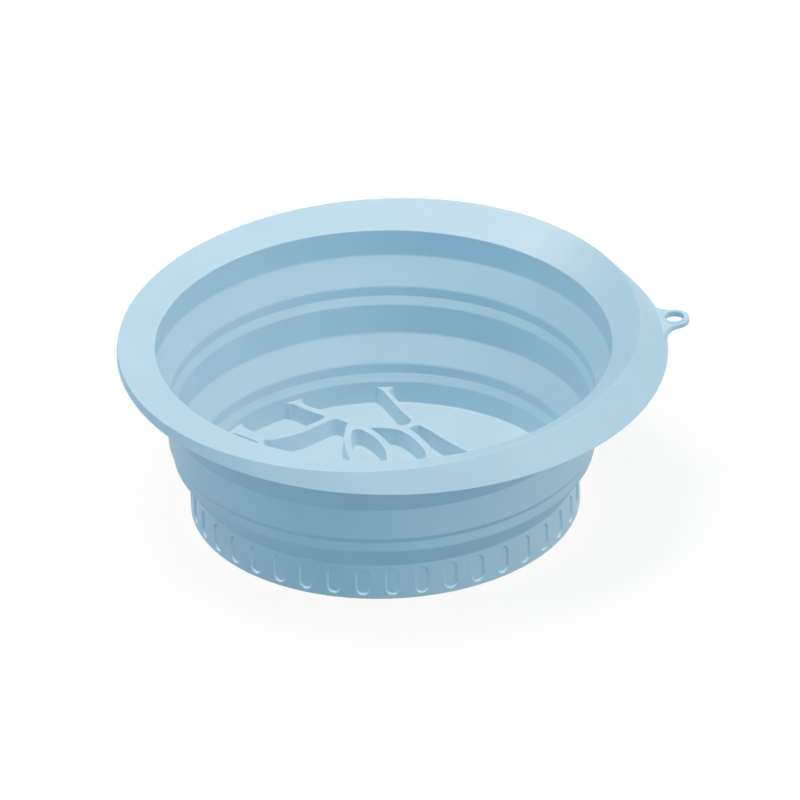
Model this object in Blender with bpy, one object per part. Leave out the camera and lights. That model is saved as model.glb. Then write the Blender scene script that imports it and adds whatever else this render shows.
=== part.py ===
"""Collapsible camp washbasin, standing open.

Lengths are in metres and +Z is up. The origin is on the basin's axis, at the underside of the floor, so the basin
stands on Z = 0. Seen from the front (along +Y) the hang tab is at the back right.

Three rigid rings carry a soft wall: the rim with its apron, the middle band and the base. Two cone-shaped folds
join them. Pressed flat, the rim drops round the middle band, and the middle band drops round the base.
"""

import math
from collections import namedtuple

import bmesh
import bpy
from mathutils import Matrix, Vector

# Bore radii, each one step wider than the ring below it.
BASE_BORE_RADIUS = 0.1096
LOWER_STEP = 0.0116
UPPER_STEP = 0.0121
BAND_BORE_RADIUS = BASE_BORE_RADIUS + LOWER_STEP
RIM_BORE_RADIUS = BAND_BORE_RADIUS + UPPER_STEP

# Base wall, its capsule recesses and the floor.
BASE_WALL_THICKNESS = 0.0035
BASE_ROOT_THICKNESS = 0.0012
BASE_LEDGE_TOP_HEIGHT = 0.0204
BASE_LEDGE_RISE = 0.0049
BASE_LIP_RISE = 0.0010
BASE_WALL_HEIGHT = BASE_LEDGE_TOP_HEIGHT + BASE_LIP_RISE
BASE_FOOT_CHAMFER = 0.0004
FLOOR_THICKNESS = 0.0016
CAPSULE_COUNT = 42
CAPSULE_WIDTH = 0.0080
CAPSULE_BOTTOM_MARGIN = 0.0026
CAPSULE_TOP_MARGIN = 0.0014
CAPSULE_DEPTH = 0.0008
CAPSULE_PHASE = math.radians(-86.8)

# Ribs on the floor.
RIB_TOP_HEIGHT = 0.0120
RIB_WIDTH = 0.0042
RIB_SIDE_WIDTH = 0.0032
RIB_DRAFT = 0.0011
RIB_WALL_FILLET = 0.0034
RIB_JOINT_FILLET = 0.0022
RIB_MERGE_LENGTH = 0.0070
RIB_MERGE_TIP_SHARE = 0.2
RIB_SAMPLE_STEP = 0.0040

# Lower fold, between the soft ring on the base and the soft ring under the middle band.
BASE_BEAD_RISE = 0.0061
LOWER_FOLD_BOTTOM_HEIGHT = BASE_LEDGE_TOP_HEIGHT + BASE_BEAD_RISE
LOWER_FOLD_RISE = 0.0154
LOWER_FOLD_TOP_HEIGHT = LOWER_FOLD_BOTTOM_HEIGHT + LOWER_FOLD_RISE
LOWER_FOLD_SKIRT = 0.0048
LOWER_SHOULDER_RISE = 0.0013
LOWER_RING_TAPER = 0.0037
LOWER_RING_THICKNESS = 0.0014

# Middle band.
BAND_THICKNESS = 0.0039
BAND_ROOT_THICKNESS = 0.0013
BAND_FOOT_RISE = 0.0054
BAND_RISE = 0.0235
BAND_LEDGE_RISE = 0.0048
BAND_LIP_RISE = 0.0006
BAND_BOTTOM_HEIGHT = LOWER_FOLD_TOP_HEIGHT + BAND_FOOT_RISE
BAND_LEDGE_TOP_HEIGHT = LOWER_FOLD_TOP_HEIGHT + BAND_RISE
BAND_TOP_HEIGHT = BAND_LEDGE_TOP_HEIGHT + BAND_LIP_RISE

# Upper fold, and the soft collar between it and the rim.
BAND_BEAD_RISE = 0.0060
UPPER_FOLD_BOTTOM_HEIGHT = BAND_LEDGE_TOP_HEIGHT + BAND_BEAD_RISE
UPPER_FOLD_RISE = 0.0158
UPPER_FOLD_TOP_HEIGHT = UPPER_FOLD_BOTTOM_HEIGHT + UPPER_FOLD_RISE
UPPER_SHOULDER_RISE = 0.0005
COLLAR_THICKNESS = 0.0030
COLLAR_RISE = 0.0173

# Rim: the funnel runs from the inner edge up to a ridge, and the apron hangs from the ridge. The inner edge, the
# ridge and the apron's hem are not level: a slope share is the climb along X (right) or along Y (back).
RIM_EDGE_HEIGHT = UPPER_FOLD_TOP_HEIGHT + COLLAR_RISE
RIM_EDGE_INSET = 0.0004
RIM_EDGE_OFFSET = 0.0015
RIM_EDGE_SLOPE_RIGHT_SHARE = -0.0128
RIM_EDGE_SLOPE_BACK_SHARE = -0.0045
FUNNEL_WIDTH = 0.0189
FUNNEL_RISE = 0.0072
FUNNEL_THICKNESS = 0.0023
FUNNEL_ROOT_RISE = 0.0004
RIDGE_RADIUS = RIM_BORE_RADIUS + FUNNEL_WIDTH
RIDGE_HEIGHT = RIM_EDGE_HEIGHT + FUNNEL_RISE
RIDGE_OFFSET = -0.0011
RIDGE_SLOPE_RIGHT_SHARE = 0.0322
RIDGE_SLOPE_BACK_SHARE = 0.0152
APRON_FLARE = 0.0077
APRON_FALL = 0.0118
APRON_RADIUS = RIDGE_RADIUS + APRON_FLARE
APRON_HEM_HEIGHT = RIDGE_HEIGHT - APRON_FALL
APRON_OFFSET = 0.0065
APRON_SLOPE_RIGHT_SHARE = -0.0160
APRON_SLOPE_BACK_SHARE = 0.0143
APRON_THICKNESS = 0.0020
APRON_CROWN_ROUNDING = 0.0010
APRON_HEM_CHAMFER = 0.0005

# Hang tab on the apron.
TAB_AZIMUTH = math.radians(10.3)
TAB_THICKNESS = 0.0027
TAB_HOLE_RADIUS = 0.0056
TAB_LIP_WIDTH = 0.0016
TAB_EDGE_WIDTH = 0.0031
TAB_LIP_RISE = 0.0007
TAB_HOLE_REACH = 0.0072
TAB_ROOT_FILLET = 0.0107

# Clearance between neighbouring pieces, and how far a cutter runs past what it cuts.
SEAM_GAP = 0.0003
CUT_OVERRUN = 0.0040
RIB_FOOT_HEIGHT = FLOOR_THICKNESS + SEAM_GAP

# Facets round the basin, two to a capsule, and segments in a small arc.
TURN_STEPS = 2 * CAPSULE_COUNT
ARC_STEPS = 8
CAPSULE_ARC_STEPS = 5
FILLET_STEPS = 4
SPLINE_STEPS = 16
SMOOTH_ANGLE = math.radians(32)

# Rib centre lines seen from above, as shares of the base's bore radius. The opposite ribs are turned half round.
RIB_CENTRE_HALF_SHARES = [
    (-0.529, 0.958), (-0.418, 0.831), (-0.348, 0.773), (-0.278, 0.723), (-0.205, 0.678), (-0.173, 0.639),
    (-0.179, 0.593), (-0.191, 0.502), (-0.190, 0.420), (-0.177, 0.319), (-0.160, 0.251), (-0.095, 0.110),
]
RIB_RIGHT_SHARES = [
    (0.018, 1.075), (0.034, 0.915), (0.056, 0.860), (0.082, 0.810), (0.128, 0.730), (0.182, 0.646),
    (0.257, 0.543), (0.315, 0.465), (0.409, 0.357), (0.456, 0.311), (0.500, 0.255), (0.560, 0.120),
    (0.604, -0.080), (0.630, -0.250), (0.640, -0.380), (0.652, -0.470), (0.698, -0.538), (0.785, -0.625),
    (0.860, -0.705),
]
RIB_ARC_SHARES = [
    (-0.745, 0.585), (-0.703, 0.568), (-0.648, 0.547), (-0.599, 0.536), (-0.538, 0.553), (-0.477, 0.578),
    (-0.425, 0.604), (-0.373, 0.642), (-0.328, 0.674), (-0.269, 0.717),
]
RIB_BRIDGE_SHARES = [
    (-0.172, 0.630), (-0.100, 0.611), (-0.015, 0.601), (0.062, 0.586), (0.094, 0.568), (0.129, 0.531),
    (0.162, 0.484), (0.193, 0.428), (0.220, 0.372), (0.236, 0.320), (0.240, 0.274), (0.232, 0.190),
    (0.205, 0.080), (0.150, -0.020), (0.105, -0.110),
]
RIB_LINK_SHARES = [(0.098, 0.566), (0.148, 0.607), (0.190, 0.643)]
RIB_LEAF_SHARES = [
    (-0.178, 0.605), (-0.130, 0.592), (-0.095, 0.572), (-0.068, 0.541), (-0.039, 0.500), (-0.013, 0.452),
    (0.009, 0.401), (0.023, 0.347), (0.031, 0.287), (0.031, 0.228), (0.022, 0.110), (0.000, 0.000),
]

# Colours as red, green and blue between 0 and 1.
RIM_COLOUR = (0.54, 0.70, 0.78)
SOFT_COLOUR = (0.47, 0.64, 0.73)
BASE_COLOUR = (0.50, 0.67, 0.76)
RIGID_ROUGHNESS = 0.45
SOFT_ROUGHNESS = 0.60

# Where a rib leaves the wall or another rib: the distance from the rib's end at the top, how much longer that is
# at the foot, the fillet there, the length over which the fillet draws in again towards the end, and the share of
# the rib's width left at the end.
Seat = namedtuple("Seat", "reach draft fillet tail tip")


def clear_scene():
    for obj in list(bpy.data.objects):
        bpy.data.objects.remove(obj, do_unlink=True)


def make_material(name, colour, roughness):
    material = bpy.data.materials.new(name)
    material.use_nodes = True
    shader = material.node_tree.nodes["Principled BSDF"]
    shader.inputs["Base Color"].default_value = (*colour, 1.0)
    shader.inputs["Roughness"].default_value = roughness
    shader.inputs["Metallic"].default_value = 0.0
    return material


def add_object(name, bm, colour=BASE_COLOUR, roughness=RIGID_ROUGHNESS):
    """An object of this bmesh, with its faces pointing out and its own material."""
    bmesh.ops.recalc_face_normals(bm, faces=bm.faces)
    mesh = bpy.data.meshes.new(name)
    bm.to_mesh(mesh)
    bm.free()
    mesh.shade_smooth()
    mesh.set_sharp_from_angle(angle=SMOOTH_ANGLE)
    obj = bpy.data.objects.new(name, mesh)
    bpy.context.scene.collection.objects.link(obj)
    mesh.materials.append(make_material(name, colour, roughness))
    return obj


def make_helper(obj):
    obj.hide_render = True
    obj.display_type = "WIRE"
    return obj


def add_boolean(obj, operation, other):
    modifier = obj.modifiers.new(f"{operation.lower()}_{other.name}", "BOOLEAN")
    modifier.operation = operation
    modifier.solver = "EXACT"
    modifier.object = other
    return modifier


def add_carrier(name, height):
    """An empty on the basin's axis, which a moving body's pieces are parented to."""
    carrier = bpy.data.objects.new(name, None)
    carrier.location = (0.0, 0.0, height)
    bpy.context.scene.collection.objects.link(carrier)
    return carrier


def attach(pieces, carrier):
    bpy.context.view_layer.update()
    for piece in pieces:
        piece.parent = carrier
        piece.matrix_parent_inverse = carrier.matrix_world.inverted()


def turned_ring(name, profile, colour, roughness, phase=0.0):
    """A closed outline of (radius, height) corners, spun once round the axis."""
    bm = bmesh.new()
    turn = Matrix.Rotation(phase, 3, "Z")
    corners = [bm.verts.new(turn @ Vector((radius, 0.0, height))) for radius, height in profile]
    edges = [bm.edges.new((corner, corners[place - 1])) for place, corner in enumerate(corners)]
    bmesh.ops.spin(
        bm,
        geom=corners + edges,
        axis=(0.0, 0.0, 1.0),
        cent=(0.0, 0.0, 0.0),
        angle=math.tau,
        steps=TURN_STEPS,
        use_merge=True,
    )
    return add_object(name, bm, colour, roughness)


def bridge_cycle(bm, rings, closed=True):
    """Quads from each ring of points to the next, and from the last to the first when closed."""
    loops = [[bm.verts.new(point) for point in ring] for ring in rings]
    pairs = list(zip(loops, loops[1:]))
    if closed:
        pairs.append((loops[-1], loops[0]))
    for low, high in pairs:
        count = len(low)
        for place in range(count):
            after = (place + 1) % count
            bm.faces.new((low[place], low[after], high[after], high[place]))
    return loops


def disc_prism(name, radius, low, high, steps, phase=0.0):
    bm = bmesh.new()
    made = bmesh.ops.create_circle(bm, cap_ends=True, segments=steps, radius=radius)
    bmesh.ops.transform(
        bm,
        matrix=Matrix.Translation((0.0, 0.0, low)) @ Matrix.Rotation(phase, 4, "Z"),
        verts=made["verts"],
    )
    top = bmesh.ops.extrude_face_region(bm, geom=bm.faces[:])
    raised = [item for item in top["geom"] if isinstance(item, bmesh.types.BMVert)]
    bmesh.ops.translate(bm, vec=(0.0, 0.0, high - low), verts=raised)
    return add_object(name, bm)


# Places on the rim, by azimuth


def ridge_point(azimuth):
    x = RIDGE_OFFSET + RIDGE_RADIUS * math.cos(azimuth)
    y = RIDGE_RADIUS * math.sin(azimuth)
    return Vector((x, y, RIDGE_HEIGHT + RIDGE_SLOPE_RIGHT_SHARE * x + RIDGE_SLOPE_BACK_SHARE * y))


def apron_point(azimuth, inset=0.0, lift=0.0):
    radius = APRON_RADIUS - inset
    x = APRON_OFFSET + radius * math.cos(azimuth)
    y = radius * math.sin(azimuth)
    hem = APRON_HEM_HEIGHT + APRON_SLOPE_RIGHT_SHARE * x + APRON_SLOPE_BACK_SHARE * y
    return Vector((x, y, hem + lift))


def edge_point(azimuth, outset=0.0):
    radius = RIM_BORE_RADIUS - RIM_EDGE_INSET + outset
    x = RIM_EDGE_OFFSET + radius * math.cos(azimuth)
    y = radius * math.sin(azimuth)
    return Vector((x, y, RIM_EDGE_HEIGHT + RIM_EDGE_SLOPE_RIGHT_SHARE * x + RIM_EDGE_SLOPE_BACK_SHARE * y))


def collar_foot_point(azimuth, outset=0.0):
    radius = RIM_BORE_RADIUS + outset
    return Vector((radius * math.cos(azimuth), radius * math.sin(azimuth), UPPER_FOLD_TOP_HEIGHT))


def collar_point(azimuth, outset, fall):
    """A place on the collar's face, or outside it by the outset, this far below the rim's inner edge."""
    edge, foot = edge_point(azimuth, outset), collar_foot_point(azimuth, outset)
    return edge.lerp(foot, fall / (edge.z - foot.z))


def part_way(start, end, distance):
    return start + (end - start).normalized() * distance


def funnel_section(azimuth):
    """The funnel's section at one azimuth, from its inner edge out to the apron and back underneath."""
    edge, ridge = edge_point(azimuth), ridge_point(azimuth)
    drop = Vector((0.0, 0.0, -FUNNEL_THICKNESS))
    outer = part_way(ridge, edge, APRON_THICKNESS + SEAM_GAP)
    root_outset = COLLAR_THICKNESS + SEAM_GAP
    root_fall = FUNNEL_THICKNESS + FUNNEL_ROOT_RISE
    return [
        edge,
        outer,
        outer + drop,
        part_way(edge, ridge, root_outset) + drop,
        collar_point(azimuth, root_outset, root_fall),
        collar_point(azimuth, 0.0, root_fall),
    ]


def collar_section(azimuth):
    """The collar's section at one azimuth: a level foot on the fold, and a top that follows the funnel."""
    top_fall = FUNNEL_THICKNESS + FUNNEL_ROOT_RISE + SEAM_GAP
    return [
        collar_point(azimuth, COLLAR_THICKNESS, top_fall),
        collar_foot_point(azimuth, COLLAR_THICKNESS),
        collar_foot_point(azimuth),
        collar_point(azimuth, 0.0, top_fall),
    ]


def apron_section(azimuth):
    """The apron's section at one azimuth, over the rounded ridge, down to the hem and up its inner face."""
    edge, ridge, hem = edge_point(azimuth), ridge_point(azimuth), apron_point(azimuth)
    drop = Vector((0.0, 0.0, -FUNNEL_THICKNESS))
    inner = part_way(ridge, edge, APRON_THICKNESS)
    before = part_way(ridge, edge, APRON_CROWN_ROUNDING)
    after = part_way(ridge, hem, APRON_CROWN_ROUNDING)
    crown = (before + ridge * 2 + after) / 4
    return [
        inner,
        before,
        crown,
        after,
        apron_point(azimuth, lift=APRON_HEM_CHAMFER),
        apron_point(azimuth, inset=APRON_HEM_CHAMFER),
        apron_point(azimuth, inset=APRON_THICKNESS),
        inner + drop,
    ]


def swept_ring(name, section, colour=RIM_COLOUR, roughness=RIGID_ROUGHNESS):
    """A closed section that changes with the azimuth, carried once round the basin."""
    sections = [section(math.tau * step / TURN_STEPS) for step in range(TURN_STEPS)]
    bm = bmesh.new()
    bridge_cycle(bm, [list(ring) for ring in zip(*sections)])
    return add_object(name, bm, colour, roughness)


def apron_cutter():
    """The space inside the apron's outer face, one seam gap larger, which trims the tab's root."""
    azimuths = [math.tau * step / TURN_STEPS for step in range(TURN_STEPS)]
    low, high = [], []
    for azimuth in azimuths:
        hem = apron_point(azimuth, inset=-SEAM_GAP, lift=APRON_HEM_CHAMFER)
        rise = ridge_point(azimuth) - apron_point(azimuth, lift=APRON_HEM_CHAMFER)
        low.append(hem - rise * (CUT_OVERRUN / rise.z))
        high.append(hem + rise)
    bm = bmesh.new()
    loops = bridge_cycle(bm, [low, high], closed=False)
    for loop in loops:
        bm.faces.new(loop)
    return make_helper(add_object("apron_cutter", bm))


def arc_points(centre, radius, start, end, steps):
    angles = [start + (end - start) * step / steps for step in range(steps + 1)]
    return [
        (centre[0] + radius * math.cos(angle), centre[1] + radius * math.sin(angle))
        for angle in angles
    ]


def tab_outline():
    """The tab from above: x runs outward from the apron's edge, and the fillets blend into that edge."""
    end_radius = TAB_HOLE_RADIUS + TAB_EDGE_WIDTH
    spread = math.sqrt((end_radius + TAB_ROOT_FILLET) ** 2 - (TAB_HOLE_REACH - TAB_ROOT_FILLET) ** 2)
    lean = math.atan2(spread, TAB_ROOT_FILLET - TAB_HOLE_REACH)
    upper = arc_points((TAB_ROOT_FILLET, spread), TAB_ROOT_FILLET, math.pi, lean + math.pi, ARC_STEPS)
    end = arc_points((TAB_HOLE_REACH, 0.0), end_radius, lean, -lean, 2 * ARC_STEPS)
    lower = [(x, -y) for x, y in reversed(upper)]
    root = -2 * CUT_OVERRUN
    return [(root, spread)] + upper + end[1:-1] + lower + [(root, -spread)]


def prism(bm, outline, low, high, top_outline=None):
    """A closed prism between two heights, on one outline or on two with as many points."""
    upper = top_outline or outline
    rings = [
        [Vector((x, y, low)) for x, y in outline],
        [Vector((x, y, high)) for x, y in upper],
    ]
    for loop in bridge_cycle(bm, rings, closed=False):
        bm.faces.new(loop)


def build_hang_tab():
    place = (
        Matrix.Translation((APRON_OFFSET, 0.0, apron_point(TAB_AZIMUTH).z))
        @ Matrix.Rotation(TAB_AZIMUTH, 4, "Z")
        @ Matrix.Translation((APRON_RADIUS, 0.0, 0.0))
    )
    bm = bmesh.new()
    prism(bm, tab_outline(), 0.0, TAB_THICKNESS)
    tab = add_object("hang_tab", bm, RIM_COLOUR)

    hole_centre = (TAB_HOLE_REACH, 0.0)
    round_turn = (0.0, math.tau, 3 * ARC_STEPS)
    bm = bmesh.new()
    lip = arc_points(hole_centre, TAB_HOLE_RADIUS + TAB_LIP_WIDTH, *round_turn)[:-1]
    prism(bm, lip, TAB_THICKNESS / 2, TAB_THICKNESS + TAB_LIP_RISE)
    eyelet = make_helper(add_object("tab_eyelet", bm))
    bm = bmesh.new()
    bore = arc_points(hole_centre, TAB_HOLE_RADIUS, *round_turn)[:-1]
    prism(bm, bore, -CUT_OVERRUN, TAB_THICKNESS + CUT_OVERRUN)
    hole = make_helper(add_object("tab_hole_cutter", bm))
    for piece in (tab, eyelet, hole):
        piece.matrix_world = place
    add_boolean(tab, "UNION", eyelet)
    add_boolean(tab, "DIFFERENCE", hole)
    add_boolean(tab, "DIFFERENCE", apron_cutter())
    return tab


# Turned rings, top to bottom


def between(low, high, height):
    """The radius at a height, on the straight line between two (radius, height) points."""
    share = (height - low[1]) / (high[1] - low[1])
    return low[0] + (high[0] - low[0]) * share


def upper_cone():
    """Corners of the upper fold's two faces: inner top and bottom, outer top and bottom."""
    band_outer = BAND_BORE_RADIUS + BAND_THICKNESS
    return {
        "inner_top": (RIM_BORE_RADIUS, UPPER_FOLD_TOP_HEIGHT),
        "inner_bottom": (band_outer - BAND_ROOT_THICKNESS, UPPER_FOLD_BOTTOM_HEIGHT),
        "outer_top": (RIM_BORE_RADIUS + COLLAR_THICKNESS, UPPER_FOLD_TOP_HEIGHT),
        "outer_bottom": (band_outer, BAND_TOP_HEIGHT + SEAM_GAP + UPPER_SHOULDER_RISE),
    }


def lower_cone():
    """Corners of the lower fold's two faces, in the same order."""
    base_outer = BASE_BORE_RADIUS + BASE_WALL_THICKNESS
    return {
        "inner_top": (BAND_BORE_RADIUS, LOWER_FOLD_TOP_HEIGHT),
        "inner_bottom": (base_outer - BASE_ROOT_THICKNESS, LOWER_FOLD_BOTTOM_HEIGHT),
        "outer_top": (BAND_BORE_RADIUS + LOWER_RING_THICKNESS, LOWER_FOLD_TOP_HEIGHT - LOWER_FOLD_SKIRT),
        "outer_bottom": (base_outer, BASE_WALL_HEIGHT + SEAM_GAP + LOWER_SHOULDER_RISE),
    }


def build_upper_fold():
    cone = upper_cone()
    top = UPPER_FOLD_TOP_HEIGHT - SEAM_GAP
    bottom = cone["inner_bottom"][1] + SEAM_GAP
    outer = (cone["outer_bottom"], cone["outer_top"])
    inner = (cone["inner_bottom"], cone["inner_top"])
    profile = [
        (between(*outer, top), top),
        (between(*outer, bottom), bottom),
        (between(*inner, bottom), bottom),
        (between(*inner, top), top),
    ]
    return turned_ring("upper_fold", profile, SOFT_COLOUR, SOFT_ROUGHNESS)


def build_upper_hinge_ring():
    cone = upper_cone()
    top = cone["inner_bottom"][1]
    bottom = BAND_TOP_HEIGHT + SEAM_GAP
    inner, outer = cone["inner_bottom"][0], cone["outer_bottom"][0]
    profile = [
        (between(cone["outer_bottom"], cone["outer_top"], top), top),
        (outer, cone["outer_bottom"][1]),
        (outer, bottom),
        (inner, bottom),
        (inner, top),
    ]
    return turned_ring("upper_hinge_ring", profile, SOFT_COLOUR, SOFT_ROUGHNESS)


def build_middle_band():
    inner = BAND_BORE_RADIUS
    outer = inner + BAND_THICKNESS
    root = outer - BAND_ROOT_THICKNESS
    profile = [
        (outer, BAND_TOP_HEIGHT),
        (outer, BAND_BOTTOM_HEIGHT),
        (inner, BAND_BOTTOM_HEIGHT),
        (inner, BAND_LEDGE_TOP_HEIGHT - BAND_LEDGE_RISE),
        (root, BAND_LEDGE_TOP_HEIGHT),
        (root, BAND_TOP_HEIGHT),
    ]
    return turned_ring("middle_band", profile, BASE_COLOUR, RIGID_ROUGHNESS)


def build_lower_hinge_ring():
    top = BAND_BOTTOM_HEIGHT - SEAM_GAP
    inner = BAND_BORE_RADIUS
    root = inner + LOWER_RING_THICKNESS
    profile = [
        (inner + BAND_THICKNESS, top),
        (root, top - LOWER_RING_TAPER),
        (root, LOWER_FOLD_TOP_HEIGHT),
        (inner, LOWER_FOLD_TOP_HEIGHT),
        (inner, top),
    ]
    return turned_ring("lower_hinge_ring", profile, SOFT_COLOUR, SOFT_ROUGHNESS)


def build_lower_fold():
    cone = lower_cone()
    top = LOWER_FOLD_TOP_HEIGHT - SEAM_GAP
    bottom = cone["inner_bottom"][1] + SEAM_GAP
    inner = (cone["inner_bottom"], cone["inner_top"])
    profile = [
        (cone["outer_top"][0], top),
        cone["outer_top"],
        (between(cone["outer_bottom"], cone["outer_top"], bottom), bottom),
        (between(*inner, bottom), bottom),
        (between(*inner, top), top),
    ]
    return turned_ring("lower_fold", profile, SOFT_COLOUR, SOFT_ROUGHNESS)


def build_base_hinge_ring():
    cone = lower_cone()
    top = cone["inner_bottom"][1]
    bottom = BASE_WALL_HEIGHT + SEAM_GAP
    inner, outer = cone["inner_bottom"][0], cone["outer_bottom"][0]
    profile = [
        (between(cone["outer_bottom"], cone["outer_top"], top), top),
        (outer, cone["outer_bottom"][1]),
        (outer, bottom),
        (inner, bottom),
        (inner, top),
    ]
    return turned_ring("base_hinge_ring", profile, SOFT_COLOUR, SOFT_ROUGHNESS)


def capsule_cutter():
    """A ring of upright capsule-shaped blocks, one to each recess, set into the wall by the recess depth."""
    half = CAPSULE_WIDTH / 2
    wall = (BASE_BORE_RADIUS + BASE_WALL_THICKNESS) * math.cos(math.pi / TURN_STEPS)
    low = CAPSULE_BOTTOM_MARGIN + half
    high = BASE_WALL_HEIGHT - CAPSULE_TOP_MARGIN - half
    outline = arc_points((0.0, low), half, math.pi, math.tau, CAPSULE_ARC_STEPS)
    outline += arc_points((0.0, high), half, 0.0, math.pi, CAPSULE_ARC_STEPS)
    bm = bmesh.new()
    for number in range(CAPSULE_COUNT):
        turn = Matrix.Rotation(CAPSULE_PHASE + math.tau * number / CAPSULE_COUNT, 3, "Z")
        rings = [
            [turn @ Vector((reach, across, height)) for across, height in outline]
            for reach in (wall - CAPSULE_DEPTH, wall + CUT_OVERRUN)
        ]
        for loop in bridge_cycle(bm, rings, closed=False):
            bm.faces.new(loop)
    return make_helper(add_object("capsule_cutter", bm))


def build_base_wall():
    inner = BASE_BORE_RADIUS
    outer = inner + BASE_WALL_THICKNESS
    root = outer - BASE_ROOT_THICKNESS
    profile = [
        (outer, BASE_WALL_HEIGHT),
        (outer, BASE_FOOT_CHAMFER),
        (outer - BASE_FOOT_CHAMFER, 0.0),
        (inner, 0.0),
        (inner, BASE_LEDGE_TOP_HEIGHT - BASE_LEDGE_RISE),
        (root, BASE_LEDGE_TOP_HEIGHT),
        (root, BASE_WALL_HEIGHT),
    ]
    phase = CAPSULE_PHASE + math.pi / TURN_STEPS
    wall = turned_ring("base_wall", profile, BASE_COLOUR, RIGID_ROUGHNESS, phase)
    add_boolean(wall, "DIFFERENCE", capsule_cutter())
    return wall


def build_floor_panel():
    phase = CAPSULE_PHASE + math.pi / TURN_STEPS
    return disc_prism("floor_panel", BASE_BORE_RADIUS - SEAM_GAP, 0.0, FLOOR_THICKNESS, TURN_STEPS, phase)


# Ribs on the floor


def smooth_route(points):
    """Points along a Catmull-Rom curve through the route's own points, about one sample step apart."""
    ends = [points[0] * 2 - points[1]] + points + [points[-1] * 2 - points[-2]]
    fine = [points[0]]
    for before, start, end, after in zip(ends, ends[1:], ends[2:], ends[3:]):
        for step in range(1, SPLINE_STEPS + 1):
            t = step / SPLINE_STEPS
            fine.append((
                start * 2
                + (end - before) * t
                + (before * 2 - start * 5 + end * 4 - after) * t ** 2
                + (start * 3 - before - end * 3 + after) * t ** 3
            ) / 2)
    return fine


def resample(route, marks):
    """The route's places at these distances along it, with the direction there."""
    lengths = [0.0]
    for start, end in zip(route, route[1:]):
        lengths.append(lengths[-1] + (end - start).length)
    found = []
    place = 0
    for mark in marks:
        while place < len(route) - 2 and lengths[place + 1] < mark:
            place += 1
        start, end = route[place], route[place + 1]
        share = (mark - lengths[place]) / (lengths[place + 1] - lengths[place])
        found.append((start.lerp(end, share), (end - start).normalized()))
    return found


def route_length(route):
    return sum((end - start).length for start, end in zip(route, route[1:]))


def fillet_marks(fillet):
    """Distances from a rib's seat at which its fillet is sampled."""
    return [fillet * (1 - math.cos(math.pi / 2 * step / FILLET_STEPS)) for step in range(FILLET_STEPS + 1)]


def fillet_flare(distance, fillet, tail):
    """How far a quarter-round fillet stands out from the rib's side at a distance from the seat.

    Past the seat it keeps its reach, or draws in again over the tail where the rib ends inside another rib.
    """
    if distance >= fillet:
        return 0.0
    if distance < 0.0:
        return fillet * (1 + distance / tail) if tail else fillet
    return fillet - math.sqrt(fillet ** 2 - (fillet - distance) ** 2)


def end_share(distance, seat):
    """The share of a rib's width that is left at a distance from its end."""
    return seat.tip + (1 - seat.tip) * min(1.0, distance / seat.reach)


def rib_outlines(width, shares, seats, growth=0.0):
    """The rib's foot and top outlines, with as many points in each."""
    route = smooth_route([Vector(point) * BASE_BORE_RADIUS for point in shares])
    length = route_length(route)
    start_seat, end_seat = seats
    span = length - start_seat.reach - start_seat.fillet - end_seat.reach - end_seat.fillet
    count = max(2, round(span / RIB_SAMPLE_STEP))
    outlines = []
    for draft_share in (1.0, 0.0):
        start = start_seat.reach + start_seat.draft * draft_share
        end = length - end_seat.reach - end_seat.draft * draft_share
        first, last = start + start_seat.fillet, end - end_seat.fillet
        marks = {0.0, length}
        marks.update(start + mark for mark in fillet_marks(start_seat.fillet))
        marks.update(end - mark for mark in fillet_marks(end_seat.fillet))
        marks.update(first + (last - first) * step / count for step in range(1, count))
        left, right = [], []
        for mark, (place, heading) in zip(sorted(marks), resample(route, sorted(marks))):
            flare = fillet_flare(mark - start, start_seat.fillet, start_seat.tail)
            flare += fillet_flare(end - mark, end_seat.fillet, end_seat.tail)
            half = (width / 2 + RIB_DRAFT * draft_share) * end_share(mark, start_seat)
            half = half * end_share(length - mark, end_seat) + flare + growth
            side = Vector((-heading.y, heading.x)) * half
            left.append(place + side)
            right.append(place - side)
        outlines.append(left + right[::-1])
    return outlines


def add_rib(name, *rib):
    foot, top = rib_outlines(*rib)
    bm = bmesh.new()
    prism(bm, foot, RIB_FOOT_HEIGHT, RIB_TOP_HEIGHT, top)
    return add_object(name, bm)


def add_rib_cutter(name, *rib):
    """A rib grown by the seam gap all round and drawn out up and down, which trims the ribs that end on it."""
    foot, top = rib_outlines(*rib, growth=SEAM_GAP)
    low, high = RIB_FOOT_HEIGHT - CUT_OVERRUN, RIB_TOP_HEIGHT + CUT_OVERRUN
    share = CUT_OVERRUN / (RIB_TOP_HEIGHT - RIB_FOOT_HEIGHT)
    below = [at_foot.lerp(at_top, -share) for at_foot, at_top in zip(foot, top)]
    above = [at_foot.lerp(at_top, 1 + share) for at_foot, at_top in zip(foot, top)]
    bm = bmesh.new()
    prism(bm, below, low, high, above)
    return make_helper(add_object(name, bm))


def turned_half(shares):
    return [(-x, -y) for x, y in shares]


def wall_seat(shares):
    """The seat of a rib that runs past the wall's bore to this place."""
    return Seat((Vector(shares).length - 1) * BASE_BORE_RADIUS, 0.0, RIB_WALL_FILLET, 0.0, 1.0)


def joint_seat(width, fillet=RIB_JOINT_FILLET):
    """The seat of a rib that ends on the middle of another rib, whose width is given."""
    return Seat(width / 2, RIB_DRAFT, fillet, width / 2, 1.0)


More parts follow.
